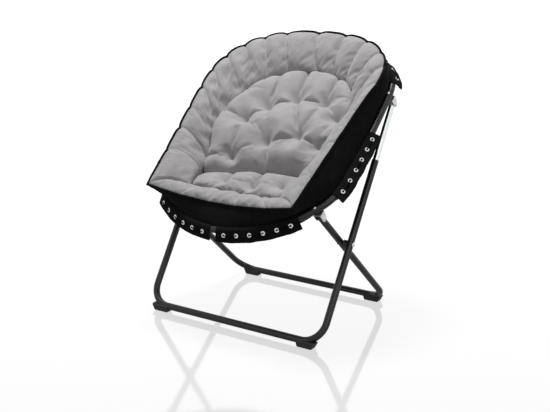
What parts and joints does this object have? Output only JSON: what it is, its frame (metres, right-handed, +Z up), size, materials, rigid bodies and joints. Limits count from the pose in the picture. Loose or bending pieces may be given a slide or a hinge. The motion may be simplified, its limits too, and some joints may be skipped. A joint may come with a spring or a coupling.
{
  "type": "folding saucer chair",
  "caption": "Folding chair with a padded fabric bowl laced to a tubular hoop, on two crossed tube leg frames that scissor and telescope.",
  "frame": {"origin": "on the floor, in the middle of the whole chair's width and depth", "axes": "+X to the sitter's left (viewer's right from the front), -Y is where the sitter faces, +Z up"},
  "size_m": [0.7478, 0.6963, 0.8885],
  "materials": {
    "enamel": "satin dark enamel",
    "chrome_tube": "bright plated tube",
    "zinc": "zinc plated",
    "black_plastic": "moulded, matt",
    "cushion": "short-napped plush, grey",
    "cover": "woven, black",
    "piping": "black piping",
    "eyelet": "pressed metal",
    "lace": "braided cord, black"
  },
  "bodies": {
    "seat": {"hoop": "enamel", "lower_bracket_left": "zinc", "lower_bracket_right": "zinc", "upper_bracket_left": "zinc", "upper_bracket_right": "zinc", "bracket_bolts": "zinc", "bracket_nuts": "zinc", "lower_pivot_pins": "zinc", "upper_pivot_pins": "zinc", "seat_sling": "cover", "cover_front_wall": "cover", "cover_side_wall_left": "cover", "cover_side_wall_right": "cover", "cover_back_wall": "cover", "rim_piping": "piping", "rim_bolster": "cushion", "back_pad": "cushion", "seat_pad": "cushion", "front_roll": "cushion", "flap_front_left": "cover", "flap_front_right": "cover", "flap_side_left": "cover", "flap_side_right": "cover", "flap_back_left": "cover", "flap_back_right": "cover", "eyelets": "eyelet", "lacing_cords": "lace"},
    "rear_frame": {"rear_leg_frame": "enamel", "rear_foot_left": "black_plastic", "rear_foot_right": "black_plastic", "rear_leg_caps": "black_plastic", "crossing_rivet_tails": "zinc"},
    "inner_tubes": {"inner_tube_left": "chrome_tube", "inner_tube_right": "chrome_tube", "inner_tube_caps": "black_plastic"},
    "front_frame": {"front_leg_frame": "enamel", "front_foot_left": "black_plastic", "front_foot_right": "black_plastic", "crossing_rivets": "zinc", "spacer_bushes": "black_plastic"}
  },
  "joints": [
    {"name": "rear_fold", "type": "hinge", "parent": "seat", "child": "rear_frame", "pos_m": [0, -0.21024, 0.39329], "axis": [-1, 0, 0], "range_deg": [0, 92.13]},
    {"name": "front_hinge", "type": "hinge", "parent": "seat", "child": "inner_tubes", "pos_m": [0, 0.15922, 0.686], "axis": [-1, 0, 0], "range_deg": [0, 17.49]},
    {"name": "tube_slide", "type": "slide", "parent": "inner_tubes", "child": "front_frame", "axis": [0, -0.5315, -0.8471], "range_m": [0, 0.15958]}
  ],
  "couplings": [
    {"joint": "front_hinge", "follows": "rear_fold", "ratio": 0.18971},
    {"joint": "tube_slide", "follows": "rear_fold", "m_per_rad": 0.09918}
  ]
}
